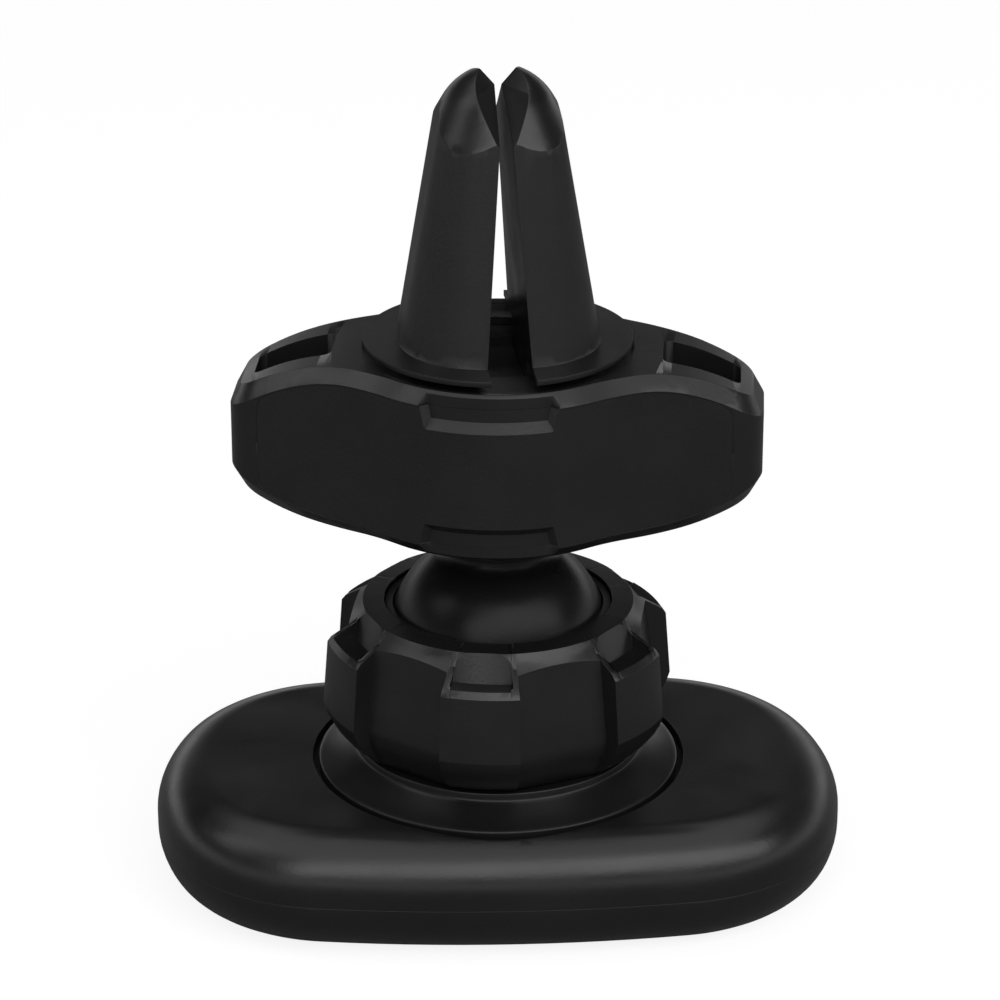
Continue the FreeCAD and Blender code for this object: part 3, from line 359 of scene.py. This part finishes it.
# The clamp nut is moulded with six ribs between flat panels and a thumb pocket on each rib, and
# turned by hand. It draws the collar onto the ball. Its edges are well rounded for the fingers.
RIBS = 6
RIB_HALF = math.radians(12.9)
RIB_INNER = 0.75 * RIB_HALF + 0.02
PANEL_HALF = math.pi / RIBS - RIB_HALF
PANEL_EDGE = 0.985
PANEL_STEPS = 8
NUT_TURN = math.radians(-90 - 7.8)
NUT_EDGE = 0.00014
NUT_FOOT, NUT_WAIST = 14.1, 18.2
RIB_FOOT, RIB_WAIST, RIB_TOP = 13.0, 16.2, (15.72, 24.2)
PANEL_FOOT, PANEL_WAIST, PANEL_TOP = 12.45, 14.1, 13.15
PANEL_FLATNESS = 0.9
BELLY_RADIUS, BELLY_STEPS = 6.5, 5
MOUTH = (10.36, 27.2)
BORE = [(10.36, 26.3), (12.05, 23.4), (12.05, NUT_FOOT)]
RING_EDGE, BAND_FOOT = (12.3, 27.12), (13.1, 26.05)
CROWN = [MOUTH, RING_EDGE, BAND_FOOT, (15.8, 24.4)]
RIB_CROWN = (15.35, 14.9)
PANEL_CROWN = (12.9, 12.6)
PANEL_RISE = (0.35, 0.7)
POCKET_HALF, POCKET_FLOOR, POCKET_BACK, POCKET_ARCH = 2.68, 24.6, 13.2, 12.2
POCKET_RIM, POCKET_FRONT, RIM_RISE = 15.3, 14.8, 0.2
POCKET_PARALLEL = 12
POCKET_SHARES = (0, 0.3, 0.6, 0.8, 0.93, 1, 1.001)
ARCH_POWER = 4
MITRE = 0.1


def on_crown(radius):
    """A point on the crown: a narrow flat ring at the mouth, a steep band, and the slope down the ribs."""
    for (r, z), (r_next, z_next) in zip(CROWN, CROWN[1:]):
        if radius <= r_next:
            return (radius, z + (z_next - z) * (radius - r) / (r_next - r))
    return (radius, CROWN[-1][1])


def belly(foot, waist):
    """Points from the nut's foot to its waist, by an arc."""
    low, high = (foot, NUT_FOOT), (waist, NUT_WAIST)
    return [low, *arc_points(low, high, BELLY_RADIUS, BELLY_STEPS), high]


def rib_profile(back=None):
    """Points up a rib. With a back, the thumb pocket's floor and back wall are cut into it."""
    rise = [*belly(RIB_FOOT, RIB_WAIST), RIB_TOP]
    if back is None:
        slope = (*RIB_CROWN, POCKET_BACK, BAND_FOOT[0], RING_EDGE[0])
        return [*rise, *[on_crown(r) for r in slope], MOUTH, *BORE]
    dish = [(POCKET_RIM, POCKET_FLOOR + RIM_RISE), (POCKET_FRONT, POCKET_FLOOR), (POCKET_BACK, POCKET_FLOOR)]
    return [*rise, *dish, on_crown(back), on_crown(min(back - MITRE, RING_EDGE[0])), MOUTH, *BORE]


def panel_profile(spread):
    """Points up a flat panel, at an angle from the panel's middle."""
    flat = 1 / math.cos(spread)
    face = [(r * (1 + (flat - 1) * PANEL_FLATNESS), z) for r, z in belly(PANEL_FOOT, PANEL_WAIST)]
    top = on_crown(PANEL_TOP * flat)
    face += [tuple(Vector(face[-1]).lerp(Vector(top), share)) for share in PANEL_RISE]
    return [*face, top, *[on_crown(r) for r in (*PANEL_CROWN, RING_EDGE[0])], MOUTH, *BORE]


def pocket_column(middle, share):
    """Points up a rib at a share of the thumb pocket's half width, whose sides are parallel."""
    back = POCKET_ARCH + (BAND_FOOT[0] - POCKET_ARCH) * abs(share) ** ARCH_POWER
    profile = rib_profile(back if abs(share) <= 1 else None)
    aside = share * POCKET_HALF
    return [at_angle(r, middle + math.asin(aside / max(r, POCKET_PARALLEL)), z) for r, z in profile]


nut_columns = []
for rib in range(RIBS):
    middle = NUT_TURN + rib * math.tau / RIBS
    for side in (-RIB_HALF, -RIB_INNER):
        nut_columns.append([at_angle(r, middle + side, z) for r, z in rib_profile()])
    for share in [-share for share in reversed(POCKET_SHARES[1:])] + list(POCKET_SHARES):
        nut_columns.append(pocket_column(middle, share))
    for side in (RIB_INNER, RIB_HALF):
        nut_columns.append([at_angle(r, middle + side, z) for r, z in rib_profile()])
    for k in range(PANEL_STEPS + 1):
        spread = PANEL_HALF * (2 * k / PANEL_STEPS - 1) * PANEL_EDGE
        nut_columns.append([at_angle(r, middle + math.pi / RIBS + spread, z) for r, z in panel_profile(spread)])
nut_plastic = moulded_plastic("nut_plastic", 0.33)
moulding("clamp_nut_moulding", nut_columns, nut_plastic, "nut", "clamp_nut", NUT_EDGE)


# The friction collar is a split ring of a slippery, dark grey plastic. The nut's cone squeezes it
# onto the ball.
finish_node("friction_collar", moulded_plastic("collar_plastic", 0.35, (0.010, 0.010, 0.0105)))


# Ball and neck are moulded in the same black plastic, polished where the ball turns, and held
# together by one screw from below.
ball_plastic = moulded_plastic("ball_plastic", 0.3, gloss=0.16)
finish_node("ball", ball_plastic)
finish_node("neck_post", ball_plastic)
finish_node("ball_screw", zinc, 0)


# The clip body is two shells moulded in black plastic, one over the other, with a hairline seam
# at each end. Two screws hold them together from below.
SHELL_EDGE = 0.00015
clip_plastic = moulded_plastic("clip_plastic", 0.33)
finish_node("clip_upper_shell", clip_plastic, SHELL_EDGE)
finish_node("clip_lower_shell", clip_plastic, SHELL_EDGE)
finish_node("shell_screws", zinc, 0)


# The fascias are curved strips of black plastic with a slightly coarser grain, pressed into the
# shells' front and rear. Their faces are bare.
fascia_plastic = moulded_plastic("fascia_plastic", 0.36, grain=0.00004)
finish_node("front_fascia", fascia_plastic, 0)
finish_node("rear_fascia", fascia_plastic, 0)


# The turret is moulded in black plastic and turns in the clip body, on a washer of a slippery
# plastic. It carries both jaws on steel pins, with the coil spring between their tails.
finish_node("swivel_washer", moulded_plastic("washer_plastic", 0.35, (0.03, 0.03, 0.03)), 0)
finish_node("turret", clip_plastic)
finish_node("hinge_pins", zinc, 0)
finish_node("jaw_spring", plated_metal("spring_steel", (0.5, 0.5, 0.52), 0.3), 0)


# The jaws are moulded in black plastic, each in one piece with its half of the round flange. They
# hang on the turret's pins and close on the vent's slat.
JAW_EDGE = 0.00018
jaw_plastic = moulded_plastic("jaw_plastic", 0.34)
finish_node("jaw_left", jaw_plastic, JAW_EDGE)
finish_node("jaw_right", jaw_plastic, JAW_EDGE)
